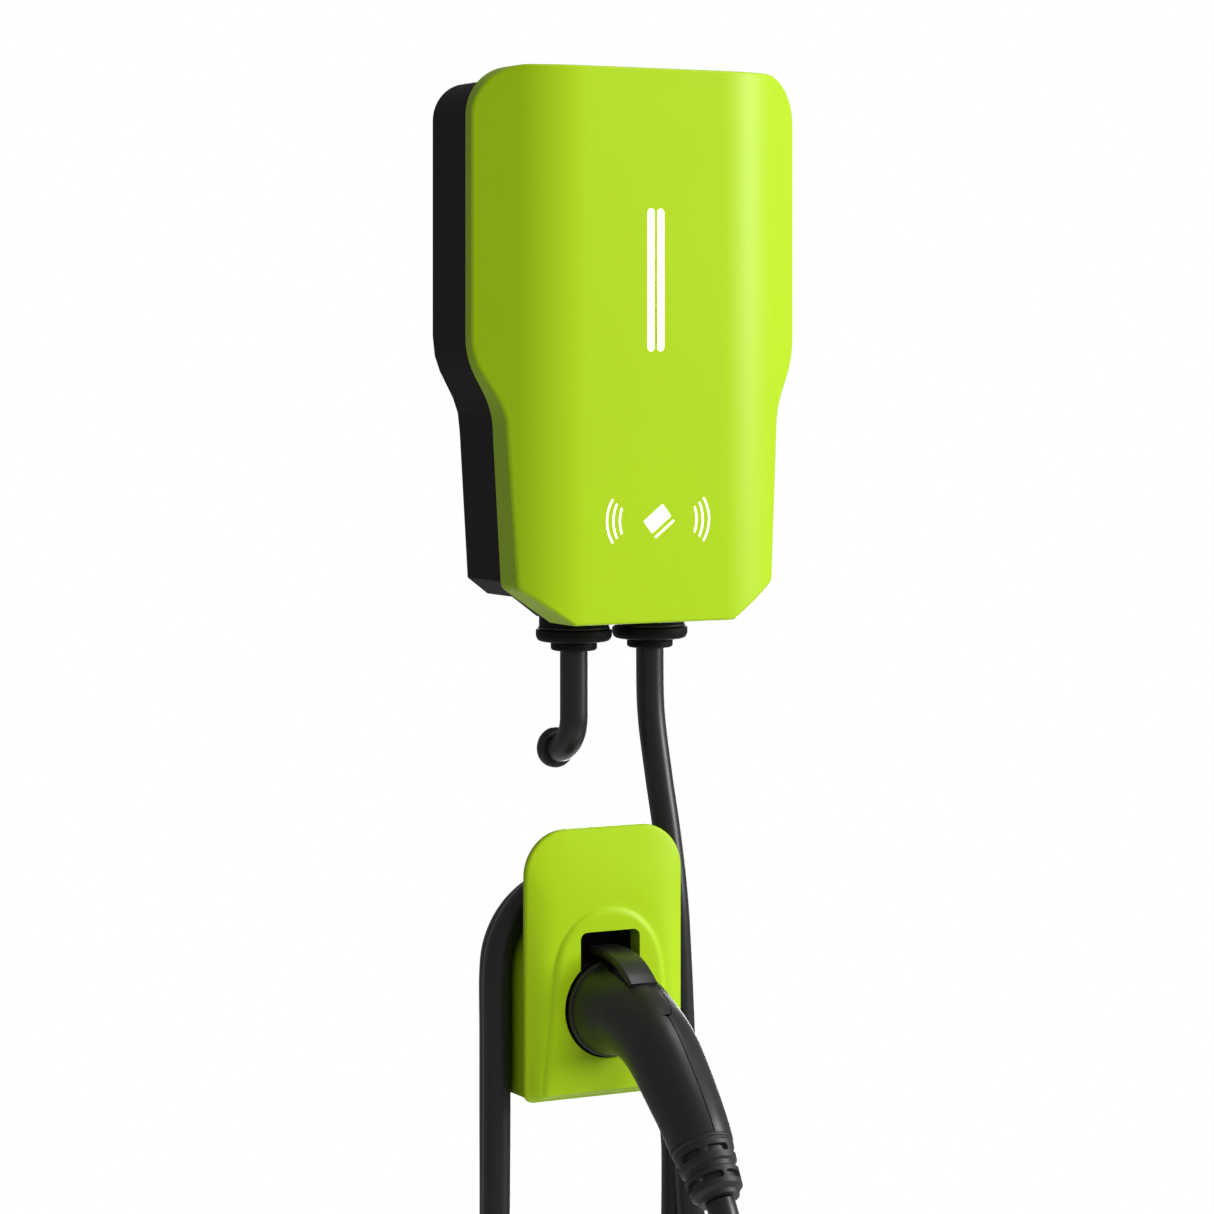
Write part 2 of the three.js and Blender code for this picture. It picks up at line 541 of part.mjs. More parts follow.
function holsterShell() {
  const plate = solid(slab(plateOutline(), PLATE_BACK, PLATE_FRONT));
  const panel = solid(slab(panelOutline(), PLATE_FRONT, PANEL_FRONT - PANEL_BEVEL, {
    bevelEnabled: true, bevelThickness: PANEL_BEVEL, bevelSize: PANEL_BEVEL,
    bevelOffset: -PANEL_BEVEL / 2, bevelSegments: 1,
  }));
  const hook = cut(hookSolid(0, HOOK_REAR, PLATE_BACK + 1), hookSolid(3, HOOK_REAR - 1, PLATE_BACK + 0.5));
  const socket = solid(outward(disc(SOCKET_RADIUS, 40, 80, 36), HOLSTER_X, SOCKET_Z));
  const windowHeight = WINDOW_TOP - SOCKET_Z;
  const window = solid(slab(roundedRect(HOLSTER_X, WINDOW_TOP - windowHeight / 2,
    WINDOW_WIDTH, windowHeight, 4), 40, 80));
  return geometryOf(cut(join(plate, panel, hook), socket, window));
}
add('holster_shell', holsterShell(), LIME);

const HOLSTER_SCREWS = [-366, -424];
const backPlate = cut(
  hookSolid(3.5, 0, 4).intersect(solid(box(HOLSTER_X, 2, HOOK_Z - 20, 200, 4, 200))),
  ...HOLSTER_SCREWS.map((z) => solid(outward(disc(3.2, -1, 9, 12), HOLSTER_X, z))));
add('holster_back_plate', geometryOf(backPlate), STEEL);
for (const [index, z] of HOLSTER_SCREWS.entries()) {
  const screw = turned([[0, 0], [2.8, 0], [2.8, 4.3], [5.5, 4.3], [4.5, 7.5], [0, 7.5]], 12);
  add(`holster_screw_${index + 1}`, outward(screw, HOLSTER_X, z), STEEL);
}
// The sleeve takes the connector's nose; its top is cut away where the latch reaches in.
const sleeve = cut(
  solid(outward(ring(NOSE_RADIUS + 1, SOCKET_RADIUS - GAP, 14, 66, 36), HOLSTER_X, SOCKET_Z)),
  solid(box(HOLSTER_X, 40, SOCKET_Z + 34, 30, 60, 12)));
add('socket_sleeve', geometryOf(sleeve), BLACK);

// ---------- connector ----------
const handleLine = new THREE.CatmullRomCurve3([
  [HANDLE_START, SOCKET_Z], [82, SOCKET_Z], [100, -411], [130, -423], [160, -448.5],
  [177, -466], [182.7, -473.35],
].map(([reach, z]) => new THREE.Vector3(HOLSTER_X, -reach, z)));
const reliefLine = new THREE.LineCurve3(
  new THREE.Vector3(HOLSTER_X, -183, -473.75), new THREE.Vector3(HOLSTER_X, -204.4, -501.3));

// A turned piece bent to follow a line: its axis becomes the line.
function bent(profile, line, segments) {
  const length = line.getLength();
  const geometry = turned(profile, segments, Math.PI / segments);
  const position = geometry.attributes.position;
  const side = new THREE.Vector3(1, 0, 0);
  for (let i = 0; i < position.count; i += 1) {
    const u = Math.min(1, Math.max(0, position.getY(i) / length));
    const tangent = line.getTangentAt(u);
    const lift = new THREE.Vector3().crossVectors(side, tangent);
    const point = line.getPointAt(u)
      .addScaledVector(side, position.getX(i))
      .addScaledVector(lift, position.getZ(i));
    position.setXYZ(i, point.x, point.y, point.z);
  }
  return geometry;
}
const HANDLE_RADII = [29, 27.4, 25.4, 24, 23.2, 22.8, 22.4, 21.9, 21.3, 20.6, 19.9, 19.2];
function handleRadius(share) {
  const place = share * (HANDLE_RADII.length - 1);
  const k = Math.min(HANDLE_RADII.length - 2, Math.floor(place));
  return between(HANDLE_RADII[k], HANDLE_RADII[k + 1], place - k);
}
// The hollow inside keeps an end wall, so its profile is shorter as well as thinner.
function handleProfile(inset) {
  const length = handleLine.getLength();
  const rings = 12;
  const rim = Array.from({ length: rings }, (_, i) => {
    const along = inset + ((length - 2 * inset) * i) / (rings - 1);
    return [handleRadius(along / length) - inset, along];
  });
  return [[0, inset], ...rim, [0, length - inset]];
}
// The latch lies in a recess along the top of the handle, with a deeper pocket at its pin.
function latchRecess() {
  const shape = new THREE.Shape();
  shape.moveTo(84, -360);
  shape.lineTo(84, -400.5);
  shape.lineTo(113, -400.5);
  shape.lineTo(116, -402);
  shape.lineTo(139, -405.5);
  shape.lineTo(139, -360);
  return shape;
}
function connectorShell(side) {
  const skin = solid(bent(handleProfile(0), handleLine, 28));
  const hollow = solid(bent(handleProfile(3), handleLine, 28));
  const recessBlock = solid(box(HOLSTER_X, 112, -389, 2 * LATCH_HALF + 11, 62, 40));
  const recess = solid(sideways(latchRecess(), 2 * LATCH_HALF + 1, HOLSTER_X));
  const pinHole = across(disc(1.8, -14, 14, 12), LATCH_PIVOT.reach, LATCH_PIVOT.z);
  const seam = HOLSTER_X + side * 0.15;
  const half = solid(box(seam + side * 50, 130, -430, 100, 200, 200));
  return geometryOf(skin
    .subtract(hollow.subtract(recessBlock))
    .subtract(recess)
    .subtract(solid(pinHole.translate(HOLSTER_X, 0, 0)))
    .intersect(half));
}
add('connector_shell_left', connectorShell(-1), BLACK);
add('connector_shell_right', connectorShell(1), BLACK);

add('connector_ring', outward(
  turned([[0, 68.6], [RING_RADIUS - 1.2, 68.6], [RING_RADIUS, 69.6], [RING_RADIUS, 72],
    [RING_RADIUS - 1, 73], [0, 73]], 36), HOLSTER_X, SOCKET_Z), BLACK);
add('connector_nose', outward(
  turned([[NOSE_RADIUS - 3, NOSE_TIP], [NOSE_RADIUS, NOSE_TIP], [NOSE_RADIUS, 68.3], [0, 68.3],
    [0, 58], [NOSE_RADIUS - 3, 58], [NOSE_RADIUS - 3, NOSE_TIP]], 36), HOLSTER_X, SOCKET_Z), BLACK);

// Seven contacts: two small ones above, then three, then two.
const CONTACTS = [
  [-8, 13, 2.2], [8, 13, 2.2], [-15.5, 1, 3], [0, 1, 3], [15.5, 1, 3], [-8.5, -12, 3], [8.5, -12, 3],
];
for (const [index, [x, z, radius]] of CONTACTS.entries()) {
  add(`contact_pin_${index + 1}`,
    outward(disc(radius, NOSE_TIP + 6, 58 - GAP, 12), HOLSTER_X + x, SOCKET_Z + z), BRASS);
}

add('strain_relief', bent([
  [0, 0], [19, 0], [18.6, 4], [16.6, 6], [16.6, 9], [17.6, 11], [16.4, 17], [14.4, 18.5],
  [14.4, 21], [15.6, 22.5], [14.2, 29], [13, 31], [12.4, 34.8], [0, 34.8],
], reliefLine, 24), RUBBER);

// The latch: a strap from the holster's window over the ring, an eye on the pin, a thumb tongue.
function latchLever() {
  const strap = new THREE.Shape();
  strap.moveTo(58, -372.6);
  strap.lineTo(76, -372.8);
  strap.quadraticCurveTo(96, -374.4, 110, -384.4);
  strap.quadraticCurveTo(122, -393, 136.6, -395.6);
  strap.lineTo(137.2, -399);
  strap.quadraticCurveTo(121, -397.4, 108, -388.2);
  strap.quadraticCurveTo(94, -378.4, 76, -376.6);
  strap.lineTo(58, -376.6);
  const web = new THREE.Shape();
  web.moveTo(94.5, -382);
  web.lineTo(101.5, -384);
  web.lineTo(100.5, -393);
  web.lineTo(95.5, -393);
  const eye = across(disc(3.6, -LATCH_HALF + 4, LATCH_HALF - 4, 20), LATCH_PIVOT.reach, LATCH_PIVOT.z)
    .translate(HOLSTER_X, 0, 0);
  const hole = across(disc(1.9, -20, 20, 12), LATCH_PIVOT.reach, LATCH_PIVOT.z)
    .translate(HOLSTER_X, 0, 0);
  const body = join(solid(sideways(strap, 2 * LATCH_HALF, HOLSTER_X)),
    solid(sideways(web, 2 * LATCH_HALF - 8, HOLSTER_X)), solid(eye));
  return geometryOf(body.subtract(solid(hole)));
}
add('latch_lever', latchLever(), BLACK);
add('latch_pin', across(disc(1.5, -13, 13, 12), LATCH_PIVOT.reach, LATCH_PIVOT.z)
  .translate(HOLSTER_X, 0, 0), STEEL);
add('latch_spring', across(ring(1.95, 3, -9.2, -5.9, 12), LATCH_PIVOT.reach, LATCH_PIVOT.z)
  .translate(HOLSTER_X, 0, 0), STEEL);

export default charger;
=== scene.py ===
"""Wall-mounted electric vehicle charger with its holster and hanging charging cable."""

import json
import math

import bmesh
import bpy
from mathutils import Matrix, Vector


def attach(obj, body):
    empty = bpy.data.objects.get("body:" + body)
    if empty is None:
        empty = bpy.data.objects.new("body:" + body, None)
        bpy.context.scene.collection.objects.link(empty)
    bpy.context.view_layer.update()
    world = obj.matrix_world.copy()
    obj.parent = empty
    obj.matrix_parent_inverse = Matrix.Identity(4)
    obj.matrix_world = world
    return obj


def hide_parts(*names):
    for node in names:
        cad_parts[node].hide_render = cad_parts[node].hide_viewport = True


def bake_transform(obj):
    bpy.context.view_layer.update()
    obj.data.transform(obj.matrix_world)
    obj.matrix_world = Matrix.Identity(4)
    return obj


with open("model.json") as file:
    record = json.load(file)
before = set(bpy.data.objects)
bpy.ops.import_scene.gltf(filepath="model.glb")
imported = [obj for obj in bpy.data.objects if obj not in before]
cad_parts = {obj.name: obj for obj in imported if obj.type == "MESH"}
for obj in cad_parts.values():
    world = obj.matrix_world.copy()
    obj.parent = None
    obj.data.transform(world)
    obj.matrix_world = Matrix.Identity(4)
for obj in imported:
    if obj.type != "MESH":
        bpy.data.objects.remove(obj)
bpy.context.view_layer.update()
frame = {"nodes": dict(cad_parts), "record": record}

MM = 0.001
NODES = frame["nodes"]


# ---------- camera ----------
def add_camera():
    """The camera stands to the left of the charger and looks level, shifted down to the cable."""
    data = bpy.data.cameras.new("camera")
    data.lens = 106.75
    data.sensor_width = 36.0
    data.shift_y = -0.2117
    data.clip_start = 0.1
    camera = bpy.data.objects.new("camera", data)
    camera.location = (-1.0714, -2.0352, -0.0028)
    camera.rotation_euler = (math.radians(90), 0, math.radians(-28))
    bpy.context.scene.collection.objects.link(camera)
    bpy.context.scene.camera = camera


add_camera()


# ---------- driving places, in millimetres; reach is the distance in front of the wall ----------
HOLSTER_X = -23.0
HOOK_Z = -390.5
SOCKET_Z = -409.4
GLAND_X = 27.2
GLAND_REACH = 27.0
CABLE_RADIUS = 8.8
HOOK_RADIUS_REAR = 41.0
HOOK_RADIUS_INNER_LOOP = 43.2
HOOK_RADIUS = 50.0
HOOK_REAR = 6.5
HOOK_FULL = 30.0
LATCH_HALF = 9.5


# ---------- smooth lines ----------
def knot_line(points, per_step):
    """A centripetal Catmull-Rom line through the points, even in their numbers."""
    places = [Vector(p) for p in points]
    places = [2 * places[0] - places[1]] + places + [2 * places[-1] - places[-2]]
    line = []
    for i in range(1, len(places) - 2):
        a, b, c, d = places[i - 1:i + 3]
        ab, bc, cd = [max(1e-6, (q - p).length) ** 0.5 for p, q in ((a, b), (b, c), (c, d))]
        start = ((b - a) / ab - (c - a) / (ab + bc) + (c - b) / bc) * bc
        end = ((c - b) / bc - (d - b) / (bc + cd) + (d - c) / cd) * bc
        last = i == len(places) - 3
        for k in range(per_step + (1 if last else 0)):
            t = k / per_step
            square, cube = t * t, t * t * t
            line.append(b * (2 * cube - 3 * square + 1) + start * (cube - 2 * square + t)
                        + c * (3 * square - 2 * cube) + end * (cube - square))
    return line


def resample(line, count):
    """Points at equal distances along a line."""
    lengths = [0.0]
    for p, q in zip(line, line[1:]):
        lengths.append(lengths[-1] + (q - p).length)
    result = []
    k = 0
    for i in range(count):
        want = lengths[-1] * i / (count - 1)
        while k < len(line) - 2 and lengths[k + 1] < want:
            k += 1
        span = max(1e-9, lengths[k + 1] - lengths[k])
        result.append(line[k].lerp(line[k + 1], min(1.0, (want - lengths[k]) / span)))
    return result


def tangents(line):
    """The direction of a line at each of its points."""
    last = len(line) - 1
    return [(line[min(last, i + 1)] - line[max(0, i - 1)]).normalized() for i in range(last + 1)]


# ---------- mesh making ----------
def new_object(name, mesh_builder, material, smooth_angle=35):
    """An object from a filled bmesh in millimetres."""
    mesh_builder.normal_update()
    mesh = bpy.data.meshes.new(name)
    mesh_builder.to_mesh(mesh)
    mesh_builder.free()
    mesh.transform(Matrix.Scale(MM, 4))
    mesh.materials.append(material)
    mesh.shade_smooth()
    mesh.set_sharp_from_angle(angle=math.radians(smooth_angle))
    obj = bpy.data.objects.new(name, mesh)
    bpy.context.scene.collection.objects.link(obj)
    return obj


def loft(rings, cap_start=True, cap_end=True, into=None):
    """Joins rings of equal size with quads; faces point out."""
    work = into or bmesh.new()
    rows = [[work.verts.new(p) for p in ring] for ring in rings]
    made = []
    size = len(rows[0])
    for low, high in zip(rows, rows[1:]):
        for i in range(size):
            j = (i + 1) % size
            made.append(work.faces.new((low[i], low[j], high[j], high[i])))
    if cap_start:
        made.append(work.faces.new(rows[0][::-1]))
    if cap_end:
        made.append(work.faces.new(rows[-1]))
    bmesh.ops.recalc_face_normals(work, faces=made)
    return work


def turned(profile, place, axis=(0, 0, -1), segments=64):
    """A turned piece: profile points are (radius, distance along the axis from place)."""
    direction = Vector(axis).normalized()
    side = direction.orthogonal().normalized()
    lift = direction.cross(side)
    centre = Vector(place)
    rings = []
    for radius, along in profile:
        radius = max(radius, 0.01)
        rings.append([centre + direction * along
                      + side * (radius * math.cos(2 * math.pi * i / segments))
                      + lift * (radius * math.sin(2 * math.pi * i / segments))
                      for i in range(segments)])
    return loft(rings)


def rounded(profile, radius, steps=4):
    """Rounds the inner corners of an open profile of (radius, along) points."""
    result = [profile[0]]
    for before, corner, after in zip(profile, profile[1:], profile[2:]):
        b, c, a = Vector(before), Vector(corner), Vector(after)
        reach = min(radius, (b - c).length * 0.45, (a - c).length * 0.45)
        start, end = c + (b - c).normalized() * reach, c + (a - c).normalized() * reach
        for k in range(steps + 1):
            t = k / steps
            p = start.lerp(c, t).lerp(c.lerp(end, t), t)
            result.append((p.x, p.y))
    result.append(profile[-1])
    return result


def apply_boolean(obj, cutter, operation="DIFFERENCE"):
    """Cuts obj with cutter, bakes the result in and removes the cutter."""
    modifier = obj.modifiers.new("cut", "BOOLEAN")
    modifier.operation = operation
    modifier.solver = "EXACT"
    modifier.object = cutter
    bake_modifiers(obj)
    bpy.data.objects.remove(cutter)


def bake_modifiers(obj):
    """Applies every modifier on obj to its mesh."""
    graph = bpy.context.evaluated_depsgraph_get()
    mesh = bpy.data.meshes.new_from_object(obj.evaluated_get(graph))
    obj.modifiers.clear()
    obj.data = mesh


def soften(obj, width, segments=2, angle=30):
    """A small bevel on the sharp edges, with clean shading."""
    bevel = obj.modifiers.new("soft_edges", "BEVEL")
    bevel.width = width * MM
    bevel.segments = segments
    bevel.limit_method = "ANGLE"
    bevel.angle_limit = math.radians(angle)
    bevel.use_clamp_overlap = True
    bevel.harden_normals = True


def even_shading(obj):
    """Large flat faces keep their own shading next to narrow curved ones."""
    weighted = obj.modifiers.new("even_shading", "WEIGHTED_NORMAL")
    weighted.keep_sharp = True
    weighted.weight = 100


def arc(x, z, radius, start, end, steps):
    """Points on an arc in X and Z; angles in degrees."""
    return [(x + radius * math.cos(math.radians(start + (end - start) * i / steps)),
             z + radius * math.sin(math.radians(start + (end - start) * i / steps)))
            for i in range(steps + 1)]


def rounded_rect(x, z, width, height, radius, steps=8):
    """A rounded rectangle as a list of (x, z)."""
    right, top = x + width / 2 - radius, z + height / 2 - radius
    left, low = x - width / 2 + radius, z - height / 2 + radius
    return (arc(right, low, radius, -90, 0, steps) + arc(right, top, radius, 0, 90, steps)
            + arc(left, top, radius, 90, 180, steps) + arc(left, low, radius, 180, 270, steps))


def prism(outline, back, front, into=None):
    """A plate parallel to the wall between two reaches."""
    rings = [[(x, -reach, z) for x, z in outline] for reach in (back, front)]
    return loft(rings, into=into)


# ---------- materials ----------
def plastic(name, color, roughness, grain=0.02, grain_size=1.2, shade=0.06, specular=0.5):
    """Moulded plastic: fine surface grain, a little uneven gloss and slight colour drift."""
    material = bpy.data.materials.new(name)
    material.use_nodes = True
    nodes, links = material.node_tree.nodes, material.node_tree.links
    shader = nodes["Principled BSDF"]
    place = nodes.new("ShaderNodeTexCoord")
    drift = nodes.new("ShaderNodeTexNoise")
    drift.inputs["Scale"].default_value = 14.0
    drift.inputs["Detail"].default_value = 3.0
    links.new(place.outputs["Object"], drift.inputs["Vector"])
    tone = nodes.new("ShaderNodeMix")
    tone.data_type = "RGBA"
    tone.inputs["A"].default_value = [c * (1 - shade) for c in color] + [1]
    tone.inputs["B"].default_value = [min(1.0, c * (1 + shade)) for c in color] + [1]
    links.new(drift.outputs["Fac"], tone.inputs["Factor"])
    links.new(tone.outputs["Result"], shader.inputs["Base Color"])
    fine = nodes.new("ShaderNodeTexNoise")
    fine.inputs["Scale"].default_value = 1000.0 / grain_size
    fine.inputs["Detail"].default_value = 2.0
    links.new(place.outputs["Object"], fine.inputs["Vector"])
    gloss = nodes.new("ShaderNodeMapRange")
    gloss.inputs["To Min"].default_value = roughness * 0.9
    gloss.inputs["To Max"].default_value = roughness * 1.12
    links.new(fine.outputs["Fac"], gloss.inputs["Value"])
    links.new(gloss.outputs["Result"], shader.inputs["Roughness"])
    bump = nodes.new("ShaderNodeBump")
    bump.inputs["Strength"].default_value = 0.35
    bump.inputs["Distance"].default_value = grain * MM
    links.new(fine.outputs["Fac"], bump.inputs["Height"])
    links.new(bump.outputs["Normal"], shader.inputs["Normal"])
    shader.inputs["Specular IOR Level"].default_value = specular
    return material


def metal(name, color, roughness):
    """Plated metal with fine brushing."""
    material = plastic(name, color, roughness, grain=0.01, grain_size=0.4, shade=0.1)
    material.node_tree.nodes["Principled BSDF"].inputs["Metallic"].default_value = 1.0
    return material


def glow(name, color, strength):
    """Milky plastic with light coming through, as in a lit light guide; on the print the same emission is a
    painted glow.
    """
    material = plastic(name, color, 0.3, grain=0.005, shade=0.02)
    shader = material.node_tree.nodes["Principled BSDF"]
    shader.inputs["Emission Color"].default_value = (1, 1, 1, 1)
    shader.inputs["Emission Strength"].default_value = strength
    return material


LIME = plastic("lime_cover", (0.42, 0.66, 0.008), 0.4, grain=0.012, grain_size=0.9, shade=0.02, specular=0.25)
BLACK = plastic("black_housing", (0.003, 0.0036, 0.0034), 0.6, grain=0.03, grain_size=0.7, specular=0.2)
CONNECTOR = plastic("black_connector", (0.012, 0.012, 0.012), 0.36, grain=0.01, grain_size=0.6)
CABLE = plastic("cable_jacket", (0.011, 0.012, 0.0115), 0.36, grain=0.012, grain_size=1.5)
RUBBER = plastic("black_rubber", (0.014, 0.014, 0.014), 0.5, grain=0.012, grain_size=0.8)
STEEL = metal("zinc_steel", (0.6, 0.61, 0.63), 0.35)
BRASS = metal("contact_brass", (0.75, 0.55, 0.28), 0.25)
BOARD = plastic("circuit_board", (0.012, 0.1, 0.035), 0.45)
GREY = plastic("grey_plastic", (0.11, 0.12, 0.13), 0.5)
LIGHT = glow("light_guide", (0.95, 0.97, 0.94), 6.0)
# The white print also emits light: a painted glow, since print is no lamp.
PAINTED_GLOW_PRINT = glow("white_print_painted_glow", (0.9, 0.92, 0.85), 1.5)


# ---------- the charging cable ----------
LAYERS = (48.0, 30.0, 11.5)
CABLE_PLAY = 1.0
ARCH_1 = HOOK_RADIUS + CABLE_RADIUS + CABLE_PLAY
ARCH_2 = HOOK_RADIUS_INNER_LOOP + CABLE_RADIUS + CABLE_PLAY
LEFT_1 = HOLSTER_X - ARCH_1
LEFT_2 = HOLSTER_X - ARCH_2
FORWARD_RADIUS = 105.25
FORWARD_TOP = -880.0


def between(a, b, t):
    """The value a share t of the way from a to b, kept between them."""
    return a + (b - a) * min(1.0, max(0.0, t))


def turn(x, z, radius, start, end, steps, reach_at):
    """An arc of cable in X and Z, with its reach worked out from X."""
    return [(px, -reach_at(px), pz) for px, pz in arc(x, z, radius, start, end, steps)]


def forward_turn(steps):
    """The last turn swings from the wall forward under the others to the connector's side."""
    points = []
    for i in range(steps + 1):
        angle = math.pi * i / steps
        reach = LAYERS[2] + FORWARD_RADIUS - FORWARD_RADIUS * math.cos(angle)
        points.append((between(52, HOLSTER_X, i / steps), -reach,
                       FORWARD_TOP - FORWARD_RADIUS * math.sin(angle)))
    return points


ROUTE = [
    (27.2, -27, -172), (27.2, -27, -191.5), (27.5, -28, -232), (29.4, -34, -270), (31.6, -41.5, -308),
    (33.8, -47, -348), (36.2, -48, -391), (38.5, -48, -437), (42, -48, -495), (45.5, -48, -552),
    (47, -48, -620), (51, -48, -690), (59, -48, -765),
    *turn(-19, -835, 82, 0, -180, 6, lambda x: between(48, 30, (46 - x) / 130)),
    (-98, -30, -765), (-90, -30, -690), (-85, -30, -620), (-83.4, -30, -550), (LEFT_1, -30, -480),
    (LEFT_1, -30, -430),
    *turn(HOLSTER_X, HOOK_Z, ARCH_1, 180, 0, 12, lambda x: LAYERS[1]),
    (40.5, -30, -443), (43.8, -30, -508), (43.6, -30, -575), (44, -30, -650), (48, -30, -720),
    (55, -30, -785),
    *turn(-17, -850, 76, 0, -180, 6, lambda x: between(30, 11.5, (42 - x) / 117)),
    (-90.5, -11.5, -785), (-84, -11.5, -715), (-78, -11.5, -640), (-76, -11.5, -560),
    (LEFT_2, -11.5, -480), (LEFT_2, -11.5, -430),
    *turn(HOLSTER_X, HOOK_Z, ARCH_2, 180, 0, 12, lambda x: LAYERS[2]),
    (40, -11.5, -443), (49, -11.5, -476), (54, -11.5, -515), (54.5, -11.5, -565), (54, -11.5, -640),
    (53, -11.5, -720), (52.5, -11.5, -800),
    *forward_turn(6),
    (-23, -222, -815), (-23, -222, -740), (-23, -222, -660), (-23, -222, -590), (-23, -220.6, -549),
    (-23, -216.6, -526), (-23, -209.5, -509.2), (-23, -204.8, -502.2),
]


def tube(line, radius, sides):
    """Rings of a round tube along a line, without twist."""
    directions = tangents(line)
    side = directions[0].orthogonal().normalized()
    rings = []
    for point, direction in zip(line, directions):
        side = (side - direction * side.dot(direction)).normalized()
        lift = direction.cross(side)
        rings.append([point + side * (radius * math.cos(2 * math.pi * i / sides))
                      + lift * (radius * math.sin(2 * math.pi * i / sides)) for i in range(sides)])
    return rings


cable_line = knot_line(ROUTE, 5)
cable = new_object("charging_lead", loft(tube(cable_line, CABLE_RADIUS, 28)), CABLE, 60)
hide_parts("charging_cable", "charging_cable_tail")


# ---------- charger box ----------
COVER = dict(top=171.6, wide=114.2, narrow=95.5, foot=90.0, sole_half=56.0, corner=31.0,
             shoulder_top=6.0, shoulder_end=-54.5, chamfer_top=-148.8)
COVER_BACK, COVER_FRONT = 50.0, 85.0
FLAT_HALF, BEND_RADIUS, FACET = 49.0, 80.0, math.radians(31)
FOOT_CORNER = 6.0


def front_reach(x):
    """The bowed front: flat, a soft bend, then a straight facet down each side."""
    x = abs(x)
    bend = FLAT_HALF + BEND_RADIUS * math.sin(FACET)
    if x <= FLAT_HALF:
        return COVER_FRONT
    if x <= bend:
        return COVER_FRONT - BEND_RADIUS + math.sqrt(BEND_RADIUS ** 2 - (x - FLAT_HALF) ** 2)
    return COVER_FRONT - BEND_RADIUS + BEND_RADIUS * math.cos(FACET) - (x - bend) * math.tan(FACET)


def bezier(a, b, c, d, steps):
    """Points of a cubic curve."""
    a, b, c, d = Vector(a), Vector(b), Vector(c), Vector(d)
    points = []
    for i in range(steps + 1):
        t = i / steps
        s = 1 - t
        p = a * s ** 3 + b * (3 * s * s * t) + c * (3 * s * t * t) + d * t ** 3
        points.append((p.x, p.y))
    return points


def box_half_outline(inset):
    """The right half of the cover's outline, from the sole up to the top."""
    k = COVER
    wide, narrow, foot = k["wide"] - inset, k["narrow"] - inset, k["foot"] - inset
    top, corner = k["top"] - inset, k["corner"] - inset
    middle = (k["shoulder_top"] + k["shoulder_end"]) / 2
    sole = inset - k["top"]
    sole_half = k["sole_half"] - inset * 0.24
    chamfer_top = k["chamfer_top"] + inset * 0.7
    slope = Vector((foot - sole_half, chamfer_top - sole)).normalized()
    start = Vector((foot, chamfer_top)) - slope * FOOT_CORNER
    end = Vector((foot + FOOT_CORNER * 0.058, chamfer_top + FOOT_CORNER))
    points = [(sole_half, sole)]
    points += bezier(start, (foot, chamfer_top), (foot, chamfer_top), end, 6)
    points += bezier((narrow, k["shoulder_end"]), (narrow, middle - 2), (wide, middle + 2),
                     (wide, k["shoulder_top"]), 24)
    points += arc(wide - corner, top - corner, corner, 0, 90, 16)
    return points


def mirrored(half):
    """A full outline from its right half."""
    return half + [(-x, z) for x, z in reversed(half)]


def front_cover():
    """The lime cover: side wall, rounded edge and bowed front, cut along X where it bends."""
    edge, steps, wall = 1.8, 5, 2.5
    wall_level = 1000.0
    work = bmesh.new()
    rings = [[(x, wall_level, z) for x, z in mirrored(box_half_outline(wall))],
             [(x, wall_level, z) for x, z in mirrored(box_half_outline(0.6))],
             [(x, wall_level - 1, z) for x, z in mirrored(box_half_outline(0))]]
    for k in range(steps + 1):
        angle = math.pi / 2 * k / steps
        inset = edge * (1 - math.cos(angle))
        drop = edge * (1 - math.sin(angle))
        rings.append([(x, drop, z) for x, z in mirrored(box_half_outline(inset))])
    loft(rings, cap_start=False, into=work)
    bend = FLAT_HALF + BEND_RADIUS * math.sin(FACET)
    cuts = [FLAT_HALF + (bend - FLAT_HALF) * k / 24 for k in range(25)]
    for x in sorted(set(cuts + [-c for c in cuts])):
        bmesh.ops.bisect_plane(work, geom=work.verts[:] + work.edges[:] + work.faces[:], dist=1e-5,
                               plane_co=(x, 0, 0), plane_no=(1, 0, 0))
    for vert in work.verts:
        level = vert.co.y
        if level > wall_level - 0.5:
            vert.co.y = -COVER_BACK
        elif level > wall_level - 1.5:
            vert.co.y = -COVER_BACK - 0.6
        else:
            vert.co.y = level - front_reach(vert.co.x)
    bmesh.ops.recalc_face_normals(work, faces=work.faces[:])
    return new_object("cover_skin", work, LIME, 40)


STRIP_X, STRIP_Z = 3.4, 40.5


def light_slot(x, grow):
    """The outline of one slot for a light strip."""
    return rounded_rect(x, STRIP_Z, 4.5 + grow, 88 + grow, 2.24 + grow / 2, 8)


cover = front_cover()
solidify = cover.modifiers.new("wall", "SOLIDIFY")
solidify.thickness = 2.2 * MM
solidify.offset = -1
bake_modifiers(cover)
for strip_x in (-STRIP_X, STRIP_X):
    cutter = new_object("slot", prism(light_slot(strip_x, 0.3), 75, 95), LIME)
    apply_boolean(cover, cutter)
even_shading(cover)
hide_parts("front_cover")
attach(cover, "wall_unit")

for guide_name, strip_x in (("light_guide_left", -STRIP_X), ("light_guide_right", STRIP_X)):
    rings = []
    for inset, reach in ((0, 78), (0, 84.8), (0.15, 85.05), (0.5, 85.2)):
        outline = rounded_rect(strip_x, STRIP_Z, 4.3 - 2 * inset, 87.8 - 2 * inset, 2.14 - inset, 8)
        rings.append([(x, -reach, z) for x, z in outline])
    guide = new_object(guide_name + "_lens", loft(rings), LIGHT, 60)
    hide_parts(guide_name)
    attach(guide, "wall_unit")


